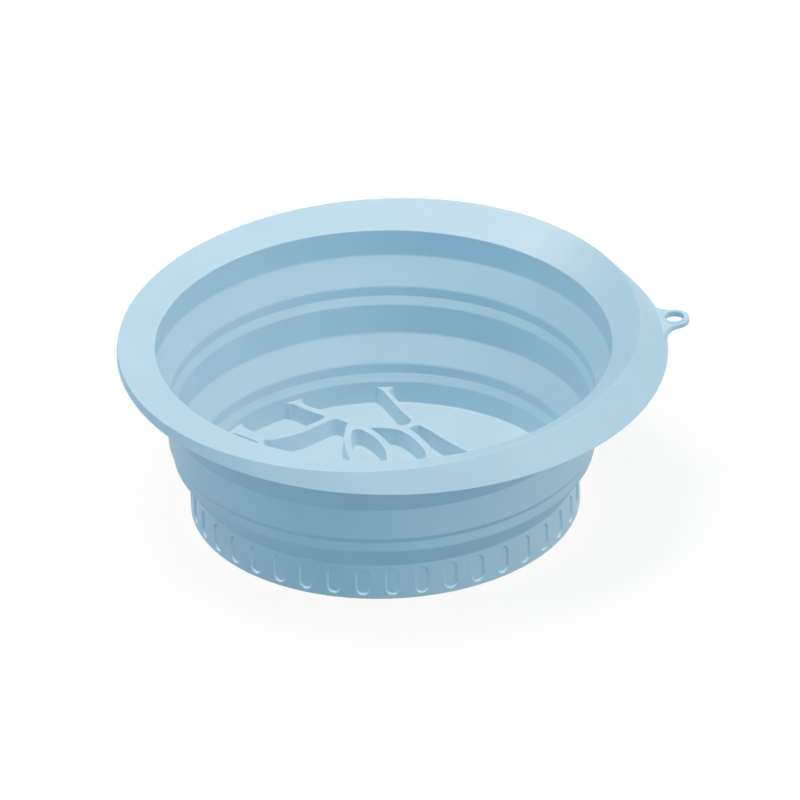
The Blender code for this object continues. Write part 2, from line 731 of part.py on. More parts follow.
def build_ribs():
    on_rib, on_side_rib = joint_seat(RIB_WIDTH), joint_seat(RIB_SIDE_WIDTH)
    crisp = joint_seat(RIB_WIDTH, 0.0)
    merging = Seat(RIB_MERGE_LENGTH, RIB_DRAFT, 0.0, RIB_MERGE_LENGTH, RIB_MERGE_TIP_SHARE)
    centre_line = RIB_CENTRE_HALF_SHARES + [(0.0, 0.0)] + turned_half(RIB_CENTRE_HALF_SHARES)[::-1]
    side_seats = [wall_seat(RIB_RIGHT_SHARES[0]), wall_seat(RIB_RIGHT_SHARES[-1])]
    mains = {
        "rib_centre": (RIB_WIDTH, centre_line, [wall_seat(centre_line[0])] * 2),
        "rib_right": (RIB_SIDE_WIDTH, RIB_RIGHT_SHARES, side_seats),
        "rib_left": (RIB_SIDE_WIDTH, turned_half(RIB_RIGHT_SHARES), side_seats),
    }
    ribs = []
    cutters = {}
    bore = make_helper(disc_prism(
        "rib_bore_cutter", BASE_BORE_RADIUS - SEAM_GAP, 0.0, RIB_TOP_HEIGHT + CUT_OVERRUN, 2 * TURN_STEPS
    ))
    for name, main_rib in mains.items():
        rib = add_rib(name, *main_rib)
        add_boolean(rib, "INTERSECT", bore)
        cutters[name] = add_rib_cutter(f"{name}_cutter", *main_rib)
        ribs.append(rib)

    for side, turn, near in (("back", list, "rib_left"), ("front", turned_half, "rib_right")):
        far = "rib_right" if near == "rib_left" else "rib_left"
        arc = add_rib(f"rib_arc_{side}", RIB_WIDTH, turn(RIB_ARC_SHARES), [merging, on_rib])
        add_boolean(arc, "DIFFERENCE", cutters[near])
        add_boolean(arc, "DIFFERENCE", cutters["rib_centre"])

        bridge_rib = (RIB_WIDTH, turn(RIB_BRIDGE_SHARES), [on_rib, on_rib])
        bridge = add_rib(f"rib_bridge_{side}", *bridge_rib)
        link_seats = [on_rib, on_side_rib]
        link = make_helper(add_rib(f"rib_link_{side}", RIB_WIDTH, turn(RIB_LINK_SHARES), link_seats))
        add_boolean(bridge, "UNION", link)
        add_boolean(bridge, "DIFFERENCE", cutters[far])
        add_boolean(bridge, "DIFFERENCE", cutters["rib_centre"])

        leaf = add_rib(f"rib_leaf_{side}", RIB_WIDTH, turn(RIB_LEAF_SHARES), [crisp, on_rib])
        add_boolean(leaf, "DIFFERENCE", add_rib_cutter(f"rib_bridge_{side}_cutter", *bridge_rib))
        add_boolean(leaf, "DIFFERENCE", cutters["rib_centre"])
        ribs += [arc, bridge, leaf]
    return ribs


def main():
    clear_scene()
    base = [build_base_wall(), build_floor_panel(), build_base_hinge_ring(), build_lower_fold()]
    base += build_ribs()
    middle = [build_lower_hinge_ring(), build_middle_band(), build_upper_hinge_ring(), build_upper_fold()]
    rim = [swept_ring("rim_collar", collar_section, SOFT_COLOUR, SOFT_ROUGHNESS)]
    rim += [swept_ring("rim_funnel", funnel_section), swept_ring("rim_apron", apron_section), build_hang_tab()]

    base_carrier = add_carrier("base_carrier", 0.0)
    middle_carrier = add_carrier("middle_carrier", LOWER_FOLD_TOP_HEIGHT)
    rim_carrier = add_carrier("rim_carrier", UPPER_FOLD_TOP_HEIGHT)
    attach(base, base_carrier)
    attach([middle_carrier], base_carrier)
    attach(middle, middle_carrier)
    attach([rim_carrier], middle_carrier)
    attach(rim, rim_carrier)


main()
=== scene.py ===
"""Looks for the collapsible washbasin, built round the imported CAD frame.

The frame's seams between bonded pieces don't show on the real basin, so its visible surfaces are
built again here: one rim, its tab, two soft sleeves that bend across the joints, the middle hoop,
the base with its recesses, and the ribs as one moulding. The sizes are those of the CAD, in metres.
Only the recesses' number and depth, the tab's root and the ribs' routes follow closer crops.
"""

import math

import bmesh
import bpy
import numpy as np
from mathutils import Matrix, Vector
from mathutils.geometry import tessellate_polygon


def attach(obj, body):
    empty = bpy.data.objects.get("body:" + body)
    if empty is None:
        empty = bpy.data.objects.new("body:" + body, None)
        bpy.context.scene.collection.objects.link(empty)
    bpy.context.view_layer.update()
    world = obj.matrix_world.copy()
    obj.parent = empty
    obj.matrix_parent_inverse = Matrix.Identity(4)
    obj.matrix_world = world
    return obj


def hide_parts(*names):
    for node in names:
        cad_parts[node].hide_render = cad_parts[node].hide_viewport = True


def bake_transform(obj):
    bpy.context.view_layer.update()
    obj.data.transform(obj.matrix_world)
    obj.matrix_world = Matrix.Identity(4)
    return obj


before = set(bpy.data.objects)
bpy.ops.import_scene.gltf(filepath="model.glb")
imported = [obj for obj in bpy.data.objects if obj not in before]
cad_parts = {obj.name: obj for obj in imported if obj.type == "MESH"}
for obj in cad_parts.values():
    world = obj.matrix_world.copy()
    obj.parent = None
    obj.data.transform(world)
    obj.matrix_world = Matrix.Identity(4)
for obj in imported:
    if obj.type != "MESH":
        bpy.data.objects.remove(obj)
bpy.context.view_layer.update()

# Camera: the photograph is square and shows no perspective.
PHOTO_PIXELS = 800
METRES_PER_PIXEL = 0.320 / 550.6
CAMERA_ELEVATION = math.radians(30.46)
CAMERA_ROLL = math.radians(1.6)
ORIGIN_PIXEL = (385.455, 500.431)
CAMERA_DISTANCE = 1.5

# The floor lies a little under the basin, so that the two faces don't coincide.
FLOOR_GAP, FLOOR_HALF_SIZE = 0.0002, 4.0

# Bore radii and wall thicknesses.
BASE_BORE, BASE_OUTER, BASE_ROOT = 0.1096, 0.1131, 0.1119
BAND_BORE, BAND_OUTER, BAND_ROOT = 0.1212, 0.1251, 0.1238
LOWER_RING_OUTER = 0.1226
RIM_BORE, COLLAR_OUTER = 0.1333, 0.1363

# Heights, from the floor up.
FLOOR_TOP = 0.0016
BASE_LEDGE_FOOT, BASE_LEDGE_TOP, BASE_TOP = 0.0155, 0.0204, 0.0214
LOWER_CONE_FOOT, LOWER_FOLD_FOOT = 0.0230, 0.0265
LOWER_CONE_TOP, LOWER_FOLD_TOP = 0.0371, 0.0419
LOWER_TAPER_FOOT, BAND_FOOT, BAND_SEAM = 0.0436, 0.0473, 0.0477
BAND_LEDGE_FOOT, BAND_LEDGE_TOP, BAND_TOP = 0.0606, 0.0654, 0.0660
UPPER_CONE_FOOT, UPPER_FOLD_FOOT, UPPER_FOLD_TOP = 0.0668, 0.0714, 0.0872
COLLAR_TOP, RIM_EDGE = 0.1018, 0.1045

# Roundings of the walls' corners.
FOLD_ROUNDING = 0.0009
SHOULDER_ROUNDING = 0.0004
LEDGE_FOOT_ROUNDING, LEDGE_TOP_ROUNDING = 0.0006, 0.0003
BAND_FOOT_ROUNDING, TAPER_ROUNDING = 0.0002, 0.0005
FLOOR_ROUNDING = 0.0008
FOOT_CHAMFER = 0.0004

# Rim: its inner edge, the ridge and the apron's hem are circles on tilted planes.
EDGE_RADIUS, EDGE_OFFSET = 0.1329, 0.0015
EDGE_SLOPE = (-0.0128, -0.0045)
RIDGE_RADIUS, RIDGE_OFFSET, RIDGE_HEIGHT = 0.1522, -0.0011, 0.1117
RIDGE_SLOPE = (0.0322, 0.0152)
HEM_RADIUS, HEM_OFFSET, HEM_HEIGHT = 0.1604, 0.0065, 0.0999
HEM_SLOPE = (-0.0160, 0.0143)
FUNNEL_THICKNESS, APRON_THICKNESS = 0.0023, 0.0020
EDGE_ROUNDING, RIDGE_ROUNDING, CHANNEL_ROUNDING = 0.0004, 0.0003, 0.0010
HEM_OUTER_ROUNDING, HEM_INNER_ROUNDING = 0.0006, 0.0005

# Hang tab.
TAB_AZIMUTH = math.radians(10.3)
TAB_THICKNESS, TAB_LIP_RISE = 0.0027, 0.0007
TAB_HOLE_RADIUS, TAB_LIP_RADIUS, TAB_END_RADIUS = 0.0056, 0.0072, 0.0087
TAB_HOLE_REACH, TAB_ROOT_FILLET, TAB_ROOT_DEPTH = 0.0066, 0.0122, 0.0012
TAB_EDGE_ROUNDING = 0.0003
# The apron's outer face leans in by this much over the tab's thickness.
TAB_TOP_INSET = 0.0023
TAB_FILLET_STEPS, TAB_END_STEPS, TAB_ROUND_STEPS = 16, 40, 64
CUTTER_REACH = 0.01

# Capsule recesses in the base wall. The slope is (outset, depth) from the wall's face inward.
CAPSULE_COUNT = 41
CAPSULE_PHASE = math.radians(-88.58)
CAPSULE_HALF_WIDTH = 0.0040
CAPSULE_FOOT, CAPSULE_TOP = 0.0026, 0.0200
CAPSULE_SLOPE = [
    (0.00060, 0.0), (0.00024, 0.0), (0.00012, 0.00003),
    (0.00002, 0.00016), (-0.00020, 0.00056), (-0.00048, 0.00106),
    (-0.00062, 0.00120), (-0.00080, 0.00125), (-0.00120, 0.00125),
]
CAPSULE_SIDE_STEPS = 4
# A recess's share of the wall has this many steps across, and two more up each side of its foot
# and its head, which makes as many as there are round the capsule's ends.
CAPSULE_SPAN_STEPS = 8
CAPSULE_ARC_STEPS = CAPSULE_SPAN_STEPS + 4

# Ribs. Centre lines are shares of the base's bore radius, and the opposite ribs are turned half
# round.
RIB_TOP, RIB_DRAFT = 0.0120, 0.0011
RIB_HALF_WIDTH, RIB_SIDE_HALF_WIDTH, RIB_BRIDGE_HALF_WIDTH = 0.0021, 0.0016, 0.0023
RIB_TRIM_RADIUS = 0.1108
RIB_WALL_FILLET, RIB_WALL_OVERLAP = 0.0068, 0.0004
RIB_EDGE_ROUNDING, RIB_FOOT_FILLET = 0.0003, 0.0003
RIB_CENTRE_HALF = [
    (-0.529, 0.948), (-0.418, 0.822), (-0.348, 0.767), (-0.278, 0.720), (-0.205, 0.678),
    (-0.170, 0.639), (-0.179, 0.593), (-0.191, 0.502), (-0.190, 0.420), (-0.177, 0.319),
    (-0.160, 0.251), (-0.095, 0.110),
]
RIB_RIGHT = [
    (0.012, 1.060), (0.0187, 0.9705), (0.043, 0.906), (0.072, 0.837), (0.106, 0.759),
    (0.157, 0.669), (0.204, 0.605), (0.257, 0.543), (0.315, 0.465), (0.409, 0.357),
    (0.456, 0.311), (0.500, 0.255), (0.560, 0.120), (0.604, -0.080), (0.630, -0.250),
    (0.640, -0.370), (0.651, -0.458), (0.672, -0.492), (0.726, -0.535), (0.786, -0.582),
    (0.880, -0.655),
]
RIB_ARC = [
    (-0.830, 0.680), (-0.762, 0.615), (-0.689, 0.548), (-0.648, 0.517), (-0.599, 0.503),
    (-0.538, 0.522), (-0.477, 0.549), (-0.425, 0.578), (-0.373, 0.621), (-0.328, 0.657),
    (-0.269, 0.707),
]
RIB_BRIDGE = [
    (-0.172, 0.628), (-0.100, 0.608), (-0.015, 0.597), (0.062, 0.582), (0.094, 0.565),
    (0.129, 0.530), (0.162, 0.484), (0.193, 0.428), (0.220, 0.372), (0.236, 0.320),
    (0.240, 0.274), (0.232, 0.190), (0.205, 0.080), (0.150, -0.020), (0.105, -0.110),
]
RIB_LINK = [(0.098, 0.560), (0.148, 0.599), (0.190, 0.635)]
RIB_LEAF = [
    (-0.178, 0.602), (-0.130, 0.589), (-0.095, 0.570), (-0.068, 0.540), (-0.039, 0.500),
    (-0.013, 0.452), (0.009, 0.401), (0.023, 0.347), (0.031, 0.287), (0.031, 0.228),
    (0.022, 0.110), (0.000, 0.000),
]
# Corners between a rib and the one it meets: how far each is filled on the rib's left and right.
RIB_CORNERS = [
    ("arc", "left", 0.0010, 0.0035),
    ("arc", "centre", 0.0040, 0.0030),
    ("bridge", "centre", 0.0022, 0.0022),
    ("link", "bridge", 0.0045, 0.0026),
    ("link", "right", 0.0045, 0.0035),
    ("leaf", "centre", 0.0022, 0.0040),
    ("leaf", "bridge", 0.0018, 0.0018),
]

# The grid on which the ribs' outline is found, and how its points move down the ribs' sides.
FIELD_STEP = 0.00025
FIELD_HALF_COUNT = 450
FIELD_REACH = 0.010
ROUTE_STEPS, ROUTE_SPACING = 16, 0.0008
RIB_POINT_SPACING = 0.0006
RIB_SIDE_STEPS = 12
MOVE_PASSES, MOVE_LIMIT = 3, 0.0003
LEAST_STEEPNESS = 0.05
WALL_HOLD = 0.0012

# Mesh fineness.
TURN_STEPS = CAPSULE_SPAN_STEPS * CAPSULE_COUNT
LONGEST_STRETCH = 0.002
ROUND_STEPS = 4
SUPPORT_SHARE = 1.5
MERGE_DISTANCE = 2e-6
FLAT_ANGLE = math.radians(0.5)
SMOOTH_ANGLE = math.radians(35)
SHARP_ANGLE = math.radians(50)
LEVEL_NORMAL = 0.9

# Plastic: its linear colour, its gloss, and the scales of its noises from slow to fine.
PLASTIC = (0.500, 0.690, 0.790)
PLASTIC_IOR, PLASTIC_SPECULAR = 1.49, 0.22
MOTTLE_SHARE, MOTTLE_SCALE = 0.025, 22.0
WAVE_SCALE = 70.0
GLOSS_SCALE, GLOSS_SPREAD = 160.0, 0.05
SPECK_COLOUR, SPECK_SCALE = (0.97, 0.975, 0.98), 1400.0
GRAIN_SCALE = 2600.0
BUMP_STRENGTH = 0.5
NOISE_LOW, NOISE_HIGH = 0.3, 0.7

# Studio light, in linear colours.
AMBIENT_COLOUR, AMBIENT_STRENGTH = (0.373, 0.776, 1.0), 0.612
SUN_COLOUR = (1.0, 0.72, 0.57)
GLINT_COLOUR = (1.0, 0.8, 0.7)
# Name, azimuth and elevation in degrees, strength, spread in degrees, whether it casts a shadow.
SUNS = [
    ("key", -21, 49, 1.51, 20, False),
    ("fill", -156, 50, 0.41, 20, False),
    ("top", 150, 80, 0.26, 20, True),
    ("back", 166, 63, 0.68, 12, False),
]
# These suns give highlights alone.
GLINTS = [
    ("glint_left", 160, 52, 4.0, 20, False),
    ("glint_right", 32, 46, 3.0, 20, False),
    ("glint_front", -105, 76, 3.0, 20, False),
]
# The floor's colour and glow add up to white in the picture, and it bounces less light than that.
FLOOR_COLOUR = (0.60, 0.45, 0.45)
FLOOR_GLOW = (0.433, 0.559, 0.548)
FLOOR_BOUNCE = (0.37, 0.47, 0.54)


# Mesh helpers


def add_mesh(name, bm, material):
    bmesh.ops.recalc_face_normals(bm, faces=bm.faces)
    mesh = bpy.data.meshes.new(name)
    bm.to_mesh(mesh)
    bm.free()
    mesh.shade_smooth()
    mesh.set_sharp_from_angle(angle=SMOOTH_ANGLE)
    mesh.materials.append(material)
    obj = bpy.data.objects.new(name, mesh)
    bpy.context.scene.collection.objects.link(obj)
    return obj


def toward(start, end, distance):
    return start + (end - start).normalized() * distance


def eased(corners):
    """A closed outline of (point, rounding) corners, rounded.

    Each rounding is held by a point just before and after it.
    """
    outline = []
    for place, (corner, rounding) in enumerate(corners):
        before = corners[place - 1][0]
        after = corners[(place + 1) % len(corners)][0]
        if not rounding:
            outline.append(corner)
            continue
        start, end = toward(corner, before, rounding), toward(corner, after, rounding)
        outline.append(toward(corner, before, rounding * SUPPORT_SHARE))
        for step in range(ROUND_STEPS + 1):
            share = step / ROUND_STEPS
            outline.append(
                start * (1 - share) ** 2 + corner * 2 * share * (1 - share) + end * share ** 2
            )
        outline.append(toward(corner, after, rounding * SUPPORT_SHARE))
    return outline


def eased_profile(corners):
    """An eased outline of (radius, height, rounding) corners."""
    return eased([(Vector((radius, 0.0, z)), rounding) for radius, z, rounding in corners])


def divided(outline):
    """The outline with its long sides cut into shorter stretches."""
    found = []
    for place, start in enumerate(outline):
        end = outline[(place + 1) % len(outline)]
        count = max(1, math.ceil((end - start).length / LONGEST_STRETCH))
        found += [start.lerp(end, step / count) for step in range(count)]
    return found


def join_loops(bm, one, other):
    """A band of faces between two closed loops of as many vertices."""
    for place in range(len(one)):
        after = (place + 1) % len(one)
        bm.faces.new((one[place], one[after], other[after], other[place]))


def swept(name, section, material):
    """A closed section, given for each azimuth, carried once round the axis."""
    bm = bmesh.new()
    rows = []
    for step in range(TURN_STEPS):
        rows.append([bm.verts.new(point) for point in section(math.tau * step / TURN_STEPS)])
    count = len(rows[0])
    for step in range(TURN_STEPS):
        near, far = rows[step], rows[(step + 1) % TURN_STEPS]
        for place in range(count):
            after = (place + 1) % count
            bm.faces.new((near[place], far[place], far[after], near[after]))
    return add_mesh(name, bm, material)


def turned(name, corners, material, shift=None):
    """A closed outline of (radius, height, rounding) corners, turned round the axis.

    The shift, if there is one, moves each point of the turned outline.
    """
    profile = divided(eased_profile(corners))

    def section(azimuth):
        turn = Matrix.Rotation(azimuth, 3, "Z")
        points = [turn @ point for point in profile]
        return [shift(azimuth, point) for point in points] if shift else points

    return swept(name, section, material)


def arc(centre, radius, start, end, steps):
    points = []
    for step in range(steps + 1):
        angle = start + (end - start) * step / steps
        x, y = radius * math.cos(angle), radius * math.sin(angle)
        points.append((centre[0] + x, centre[1] + y))
    return points


def block(name, low, high, material):
    """A solid between two closed outlines of as many points."""
    bm = bmesh.new()
    feet = [bm.verts.new(point) for point in low]
    tops = [bm.verts.new(point) for point in high]
    join_loops(bm, feet, tops)
    bm.faces.new(feet)
    bm.faces.new(tops)
    return add_mesh(name, bm, material)


def prism(name, low_outline, high_outline, low, high, material):
    feet = [(x, y, low) for x, y in low_outline]
    tops = [(x, y, high) for x, y in high_outline]
    return block(name, feet, tops, material)


def combine(base, steps):
    """The mesh of the base with (operation, other) Booleans applied in turn. All are removed."""
    for operation, other in steps:
        modifier = base.modifiers.new(other.name, "BOOLEAN")
        modifier.operation = operation
        modifier.solver = "EXACT"
        modifier.object = other
    bpy.context.view_layer.update()
    evaluated = base.evaluated_get(bpy.context.evaluated_depsgraph_get())
    bm = bmesh.new()
    bm.from_mesh(evaluated.data)
    bm.transform(base.matrix_world)
    for obj in [base] + [other for _, other in steps]:
        bpy.data.objects.remove(obj, do_unlink=True)
    bmesh.ops.remove_doubles(bm, verts=bm.verts, dist=MERGE_DISTANCE)
    bmesh.ops.dissolve_limit(bm, angle_limit=FLAT_ANGLE, verts=bm.verts, edges=bm.edges)
    return bm


def round_level_edges(bm, width):
    """Rounds the edges between a level face and a steep one."""
    bm.normal_update()
    edges = []
    for edge in bm.edges:
        if len(edge.link_faces) == 2 and edge.calc_face_angle(0.0) > SHARP_ANGLE:
            if any(abs(face.normal.z) > LEVEL_NORMAL for face in edge.link_faces):
                edges.append(edge)
    bmesh.ops.bevel(
        bm, geom=edges, offset=width, segments=2, profile=0.5, affect="EDGES", clamp_overlap=True
    )


# Materials


def moulded(name, colour, roughness, grain, wave):
    """Moulded plastic: faint mottling, uneven gloss, a fine surface grain and a slow waviness."""
    material = bpy.data.materials.new(name)
    material.use_nodes = True
    nodes, links = material.node_tree.nodes, material.node_tree.links
    shader = nodes["Principled BSDF"]
    shader.inputs["IOR"].default_value = PLASTIC_IOR
    shader.inputs["Specular IOR Level"].default_value = PLASTIC_SPECULAR
    place = nodes.new("ShaderNodeTexCoord").outputs["Object"]

    def noise(scale, detail):
        node = nodes.new("ShaderNodeTexNoise")
        node.inputs["Scale"].default_value = scale
        node.inputs["Detail"].default_value = detail
        links.new(place, node.inputs["Vector"])
        return node.outputs["Fac"]

    def ramp(source, low, high):
        node = nodes.new("ShaderNodeValToRGB")
        for stop, position, shade in zip(
            node.color_ramp.elements, (NOISE_LOW, NOISE_HIGH), (low, high)
        ):
            stop.position = position
            stop.color = (*shade, 1.0)
        links.new(source, node.inputs["Fac"])
        return node.outputs["Color"]

    def bump(height, distance):
        node = nodes.new("ShaderNodeBump")
        node.inputs["Strength"].default_value = BUMP_STRENGTH
        node.inputs["Distance"].default_value = distance
        links.new(height, node.inputs["Height"])
        return node

    dark = [channel * (1 - MOTTLE_SHARE) for channel in colour]
    light = [channel * (1 + MOTTLE_SHARE) for channel in colour]
    mix = nodes.new("ShaderNodeMix")
    mix.data_type = "RGBA"
    mix.blend_type = "MULTIPLY"
    mix.inputs["Factor"].default_value = 1.0
    cloud = ramp(noise(MOTTLE_SCALE, detail=3.0), dark, light)
    speck = ramp(noise(SPECK_SCALE, detail=2.0), SPECK_COLOUR, (1.0, 1.0, 1.0))
    links.new(cloud, mix.inputs["A"])
    links.new(speck, mix.inputs["B"])
    links.new(mix.outputs["Result"], shader.inputs["Base Color"])

    gloss = nodes.new("ShaderNodeMapRange")
    gloss.inputs["From Min"].default_value = NOISE_LOW
    gloss.inputs["From Max"].default_value = NOISE_HIGH
    gloss.inputs["To Min"].default_value = roughness - GLOSS_SPREAD
    gloss.inputs["To Max"].default_value = roughness + GLOSS_SPREAD
    links.new(noise(GLOSS_SCALE, detail=4.0), gloss.inputs["Value"])
    links.new(gloss.outputs["Result"], shader.inputs["Roughness"])

    slow = bump(noise(WAVE_SCALE, detail=1.0), wave)
    fine = bump(noise(GRAIN_SCALE, detail=2.0), grain)
    links.new(slow.outputs["Normal"], fine.inputs["Normal"])
    links.new(fine.outputs["Normal"], shader.inputs["Normal"])
    return material


# Rim


def on_plane(azimuth, radius, offset, height, slope):
    """A point of a circle moved along X, on a plane that tilts by this slope."""
    x = offset + radius * math.cos(azimuth)
    y = radius * math.sin(azimuth)
    return Vector((x, y, height + slope[0] * x + slope[1] * y))


def bore_point(azimuth, outset, height):
    radius = RIM_BORE + outset
    return Vector((radius * math.cos(azimuth), radius * math.sin(azimuth), height))


def ridge_point(azimuth):
    return on_plane(azimuth, RIDGE_RADIUS, RIDGE_OFFSET, RIDGE_HEIGHT, RIDGE_SLOPE)


def hem_point(azimuth, inset=0.0):
    return on_plane(azimuth, HEM_RADIUS - inset, HEM_OFFSET, HEM_HEIGHT, HEM_SLOPE)


def leaning(azimuth, point):
    """The collar's point moved over towards the rim's inner edge, as far as its height asks."""
    edge = on_plane(azimuth, EDGE_RADIUS, EDGE_OFFSET, RIM_EDGE, EDGE_SLOPE)
    share = max(0.0, (point.z - UPPER_FOLD_TOP) / (RIM_EDGE - UPPER_FOLD_TOP))
    return point + (edge - bore_point(azimuth, 0.0, RIM_EDGE)) * share


def rim_section(azimuth):
    edge = leaning(azimuth, bore_point(azimuth, 0.0, RIM_EDGE))
    ridge = ridge_point(azimuth)
    drop = Vector((0.0, 0.0, -FUNNEL_THICKNESS))
    wall = COLLAR_OUTER - RIM_BORE
    return eased([
        (leaning(azimuth, bore_point(azimuth, 0.0, COLLAR_TOP)), 0.0),
        (edge, EDGE_ROUNDING),
        (ridge, RIDGE_ROUNDING),
        (hem_point(azimuth), HEM_OUTER_ROUNDING),
        (hem_point(azimuth, APRON_THICKNESS), HEM_INNER_ROUNDING),
        (toward(ridge, edge, APRON_THICKNESS) + drop, CHANNEL_ROUNDING),
        (toward(edge, ridge, wall) + drop, 0.0),
        (leaning(azimuth, bore_point(azimuth, wall, COLLAR_TOP)), 0.0),
    ])


def build_rim(material):
    rim = swept("rim_shell", rim_section, material)
    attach(rim, "rim")
    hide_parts("rim_funnel", "rim_apron")


def tab_outline(inset):
    """The tab from above, with x outward from the hem.

    Its fillets touch the tab's round end and the apron's face, which lies this far inside the hem.
    """
    to_fillet = HEM_RADIUS - inset + TAB_ROOT_FILLET
    end_to_fillet = TAB_END_RADIUS + TAB_ROOT_FILLET
    span = HEM_RADIUS + TAB_HOLE_REACH
    along = (to_fillet ** 2 - end_to_fillet ** 2 + span ** 2) / (2 * span)
    across = math.sqrt(to_fillet ** 2 - along ** 2)
    start = math.atan2(across, along) + math.pi
    lean = math.atan2(across, along - span)
    fillet_centre = (along - HEM_RADIUS, across)
    upper = arc(fillet_centre, TAB_ROOT_FILLET, start, lean + math.pi, TAB_FILLET_STEPS)
    end = arc((TAB_HOLE_REACH, 0.0), TAB_END_RADIUS, lean, -lean, TAB_END_STEPS)
    lower = [(x, -y) for x, y in reversed(upper)]
    root, spread = upper[0][0] - 2 * TAB_ROOT_DEPTH, upper[0][1]
    return [(root, spread)] + upper + end[1:-1] + lower + [(root, -spread)]


def apron_inside(name, material):
    """The space inside the apron's outer face, less the depth to which the tab's root goes in."""
    low, high = [], []
    for step in range(TURN_STEPS):
        azimuth = math.tau * step / TURN_STEPS
        hem = hem_point(azimuth, TAB_ROOT_DEPTH)
        rise = ridge_point(azimuth) - hem_point(azimuth)
        low.append(hem - rise)
        high.append(hem + rise)
    return block(name, low, high, material)


def build_tab(material):
    place = (
        Matrix.Translation((HEM_OFFSET, 0.0, hem_point(TAB_AZIMUTH).z))
        @ Matrix.Rotation(TAB_AZIMUTH, 4, "Z")
        @ Matrix.Translation((HEM_RADIUS, 0.0, 0.0))
    )
    centre = (TAB_HOLE_REACH, 0.0)
    lip = arc(centre, TAB_LIP_RADIUS, 0.0, math.tau, TAB_ROUND_STEPS)[:-1]
    hole = arc(centre, TAB_HOLE_RADIUS, 0.0, math.tau, TAB_ROUND_STEPS)[:-1]
    lip_top = TAB_THICKNESS + TAB_LIP_RISE
    foot, top = tab_outline(0.0), tab_outline(TAB_TOP_INSET)
    plate = prism("tab_plate", foot, top, 0.0, TAB_THICKNESS, material)
    ring = prism("tab_ring", lip, lip, TAB_THICKNESS / 2, lip_top, material)
    bore = prism("tab_bore", hole, hole, -CUTTER_REACH, CUTTER_REACH, material)
    for piece in (plate, ring, bore):
        piece.matrix_world = place
    inside = apron_inside("tab_trim", material)
    bm = combine(plate, [("UNION", ring), ("DIFFERENCE", bore), ("DIFFERENCE", inside)])
    round_level_edges(bm, TAB_EDGE_ROUNDING)
    tab = add_mesh("tab", bm, material)
    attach(tab, "rim")
    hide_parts("hang_tab")


# Walls


def build_walls(rigid, soft):
    upper = turned("upper_sleeve", [
        (RIM_BORE, COLLAR_TOP, 0.0),
        (COLLAR_OUTER, COLLAR_TOP, 0.0),
        (COLLAR_OUTER, UPPER_FOLD_TOP, FOLD_ROUNDING),
        (BAND_OUTER, UPPER_CONE_FOOT, SHOULDER_ROUNDING),
        (BAND_OUTER, BAND_TOP, 0.0),
        (BAND_ROOT, BAND_TOP, 0.0),
        (BAND_ROOT, UPPER_FOLD_FOOT, FOLD_ROUNDING),
        (RIM_BORE, UPPER_FOLD_TOP, FOLD_ROUNDING),
    ], soft, leaning)
    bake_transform(upper)
    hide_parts("rim_collar", "upper_fold", "upper_hinge_ring")

    hoop = turned("hoop", [
        (BAND_ROOT, BAND_TOP, 0.0),
        (BAND_OUTER, BAND_TOP, 0.0),
        (BAND_OUTER, BAND_SEAM, 0.0),
        (BAND_BORE, BAND_SEAM, 0.0),
        (BAND_BORE, BAND_LEDGE_FOOT, LEDGE_FOOT_ROUNDING),
        (BAND_ROOT, BAND_LEDGE_TOP, LEDGE_TOP_ROUNDING),
    ], rigid)
    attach(hoop, "middle")
    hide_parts("middle_band")

    lower = turned("lower_sleeve", [
        (BAND_BORE, BAND_SEAM, 0.0),
        (BAND_OUTER, BAND_SEAM, 0.0),
        (BAND_OUTER, BAND_FOOT, BAND_FOOT_ROUNDING),
        (LOWER_RING_OUTER, LOWER_TAPER_FOOT, TAPER_ROUNDING),
        (LOWER_RING_OUTER, LOWER_CONE_TOP, FOLD_ROUNDING),
        (BASE_OUTER, LOWER_CONE_FOOT, FOLD_ROUNDING),
        (BASE_OUTER, BASE_TOP, 0.0),
        (BASE_ROOT, BASE_TOP, 0.0),
        (BASE_ROOT, LOWER_FOLD_FOOT, FOLD_ROUNDING),
        (BAND_BORE, LOWER_FOLD_TOP, FOLD_ROUNDING),
    ], soft)
    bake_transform(lower)
    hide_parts("lower_hinge_ring", "lower_fold", "base_hinge_ring")


# Base


def capsule_sides():
    """The heights where the capsule's straight sides start and end, and those between them."""
    low, high = CAPSULE_FOOT + CAPSULE_HALF_WIDTH, CAPSULE_TOP - CAPSULE_HALF_WIDTH
    steps = range(1, CAPSULE_SIDE_STEPS)
    return low, high, [low + (high - low) * step / CAPSULE_SIDE_STEPS for step in steps]


def capsule_loop(outset):
    """The capsule's grown outline, as (across, height) points from its left side round its foot."""
    low, high, between = capsule_sides()
    half = CAPSULE_HALF_WIDTH + outset
    loop = arc((0.0, low), half, math.pi, math.tau, CAPSULE_ARC_STEPS)
    loop += [(half, height) for height in between]
    loop += arc((0.0, high), half, 0.0, math.pi, CAPSULE_ARC_STEPS)
    loop += [(-half, height) for height in reversed(between)]
    return loop


def share_loop(half_pitch, foot, top):
    """The outline of the recess's share of the wall, with as many points as a capsule loop."""
    low, high, between = capsule_sides()
    steps = range(CAPSULE_SPAN_STEPS + 1)
    across = [half_pitch * (2 * step / CAPSULE_SPAN_STEPS - 1) for step in steps]
    loop = [(-half_pitch, low), (-half_pitch, (low + foot) / 2)]
    loop += [(x, foot) for x in across]
    loop += [(half_pitch, (low + foot) / 2), (half_pitch, low)]
    loop += [(half_pitch, height) for height in between]
    loop += [(half_pitch, high), (half_pitch, (high + top) / 2)]
    loop += [(-x, top) for x in across]
    loop += [(-half_pitch, (high + top) / 2), (-half_pitch, high)]
    loop += [(-half_pitch, height) for height in reversed(between)]
    return loop


